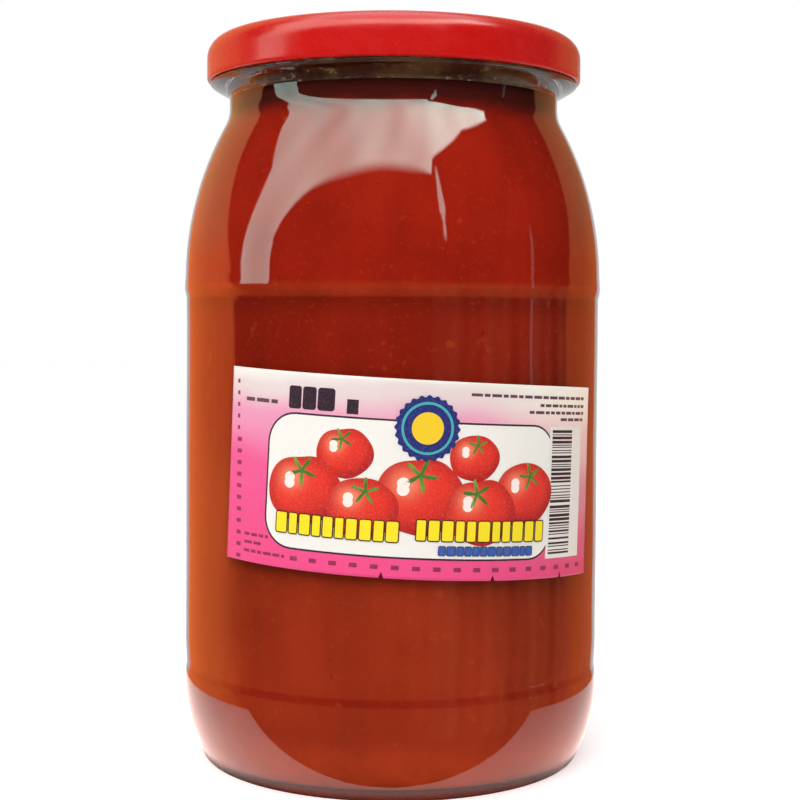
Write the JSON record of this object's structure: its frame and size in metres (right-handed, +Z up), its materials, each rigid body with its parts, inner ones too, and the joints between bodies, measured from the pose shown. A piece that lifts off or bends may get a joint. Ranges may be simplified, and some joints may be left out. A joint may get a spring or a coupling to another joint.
{
  "type": "tomato paste jar",
  "caption": "Clear glass jar filled with tomato paste, with a red twist-off lid and a paper label.",
  "frame": {"origin": "centre of the base, on the surface that the jar stands on", "axes": "+Z up along the jar's axis; the label is on the -Y side, turned a little towards +X"},
  "size_m": [0.0958, 0.0958, 0.1645],
  "materials": {
    "jar_glass": "clear, smooth",
    "paste": "moist tomato paste, red-brown",
    "red_tinplate": "glossy red lacquer on tinplate",
    "label_paper": "printed paper, slightly glossy"
  },
  "bodies": {
    "root": {"glass_jar": "jar_glass", "tomato_paste": "paste", "lid": "red_tinplate", "paper_label": "label_paper"}
  },
  "joints": []
}
